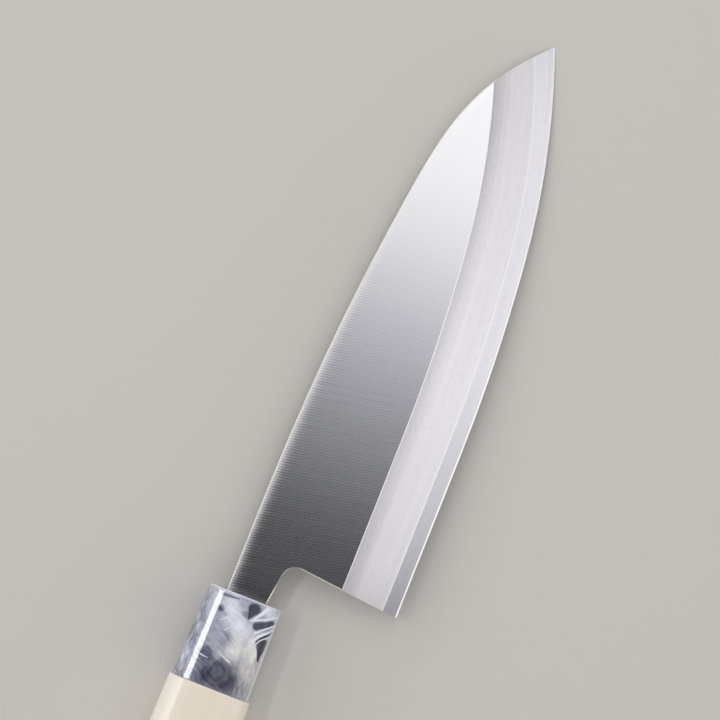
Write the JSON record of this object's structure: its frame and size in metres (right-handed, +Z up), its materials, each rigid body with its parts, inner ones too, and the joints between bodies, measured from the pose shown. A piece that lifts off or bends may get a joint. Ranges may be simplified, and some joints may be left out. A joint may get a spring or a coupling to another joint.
{
  "type": "deba knife",
  "caption": "Right-handed deba knife: thick laminated single-bevel blade with a hollow-ground back, marbled plastic ferrule and ridged wooden handle.",
  "frame": {"origin": "on the table, under the middle of the knife's bounding box, with the knife lying bevel face up on its tip and on the underside of the handle", "axes": "+X along the knife towards the tip, +Y towards the spine, +Z up, out of the bevel face"},
  "size_m": [0.3076, 0.055, 0.0265],
  "materials": {
    "cladding_steel": "ground across the flat, satin along the bevel",
    "edge_steel": "fine satin, slightly bluish",
    "ferrule_plastic": "glossy marbled pearl and smoke",
    "handle_wood": "unvarnished, sanded smooth",
    "bedding_resin": "cast resin"
  },
  "bodies": {
    "root": {"blade_cladding": "cladding_steel", "blade_core": "edge_steel", "ferrule": "ferrule_plastic", "handle": "handle_wood", "tang_bedding": "bedding_resin"}
  },
  "joints": []
}
